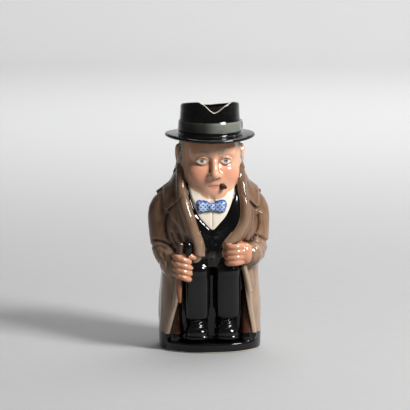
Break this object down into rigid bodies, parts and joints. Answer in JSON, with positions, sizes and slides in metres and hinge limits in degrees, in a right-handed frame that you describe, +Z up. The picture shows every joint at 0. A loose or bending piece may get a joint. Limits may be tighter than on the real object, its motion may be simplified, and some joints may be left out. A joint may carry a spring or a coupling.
{
  "type": "toby jug",
  "caption": "Hollow glazed earthenware jug in the form of a seated man in an overcoat, with a hat for its mouth, a V lip and a loop handle.",
  "frame": {"origin": "middle of the bounding box's underside, on the surface the jug stands on", "axes": "+Z up through the hat; the figure faces -Y, its right hand and the cane are on the -X side, and the handle is on the +Y side"},
  "size_m": [0.1146, 0.1158, 0.2345],
  "materials": {
    "painted_glaze": "hand-painted underglaze colours, brown coat, black hat and suit, pink skin, under a clear gloss glaze"
  },
  "bodies": {
    "root": {"toby_jug": "painted_glaze"}
  },
  "joints": []
}
